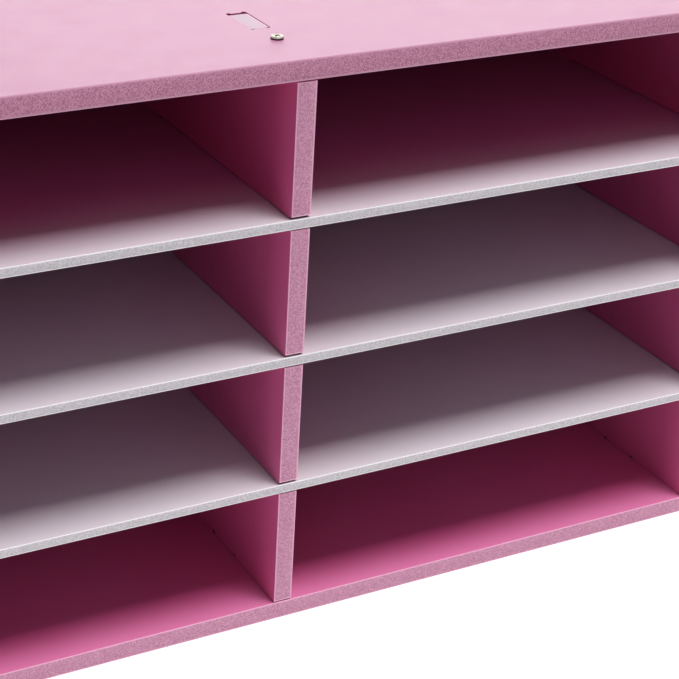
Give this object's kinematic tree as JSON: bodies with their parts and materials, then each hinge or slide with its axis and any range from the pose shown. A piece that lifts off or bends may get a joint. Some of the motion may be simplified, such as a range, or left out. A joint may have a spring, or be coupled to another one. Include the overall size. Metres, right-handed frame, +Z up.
{
  "type": "mail sorter",
  "caption": "Free-standing desktop mail sorter of routed foam PVC boards, with open-fronted letter slots in rows and columns, crossed shelves and dividers, and a closed back.",
  "frame": {"origin": "centre of the footprint, on the surface that the sorter stands on", "axes": "+Z up, +X along the width to the right as seen from the front, +Y from the open front to the back"},
  "size_m": [0.8, 0.3018, 0.3018],
  "materials": {
    "top_panel": "matt foamed PVC board, pink",
    "bottom_panel": "matt foamed PVC board, pink",
    "left_side": "matt foamed PVC board, pink",
    "right_side": "matt foamed PVC board, pink",
    "divider_1": "matt foamed PVC board, pink",
    "divider_2": "matt foamed PVC board, pink",
    "back_panel": "matt foamed PVC board, pink",
    "shelf_1": "matt foamed PVC board, light grey white",
    "shelf_2": "matt foamed PVC board, light grey white",
    "shelf_3": "matt foamed PVC board, light grey white",
    "top_screws": "bright zinc plated steel",
    "bottom_screws": "bright zinc plated steel",
    "back_screws": "bright zinc plated steel"
  },
  "bodies": {
    "root": {"top_panel": "top_panel", "bottom_panel": "bottom_panel", "left_side": "left_side", "right_side": "right_side", "divider_1": "divider_1", "divider_2": "divider_2", "back_panel": "back_panel", "shelf_1": "shelf_1", "shelf_2": "shelf_2", "shelf_3": "shelf_3", "top_screws": "top_screws", "bottom_screws": "bottom_screws", "back_screws": "back_screws"}
  },
  "joints": []
}
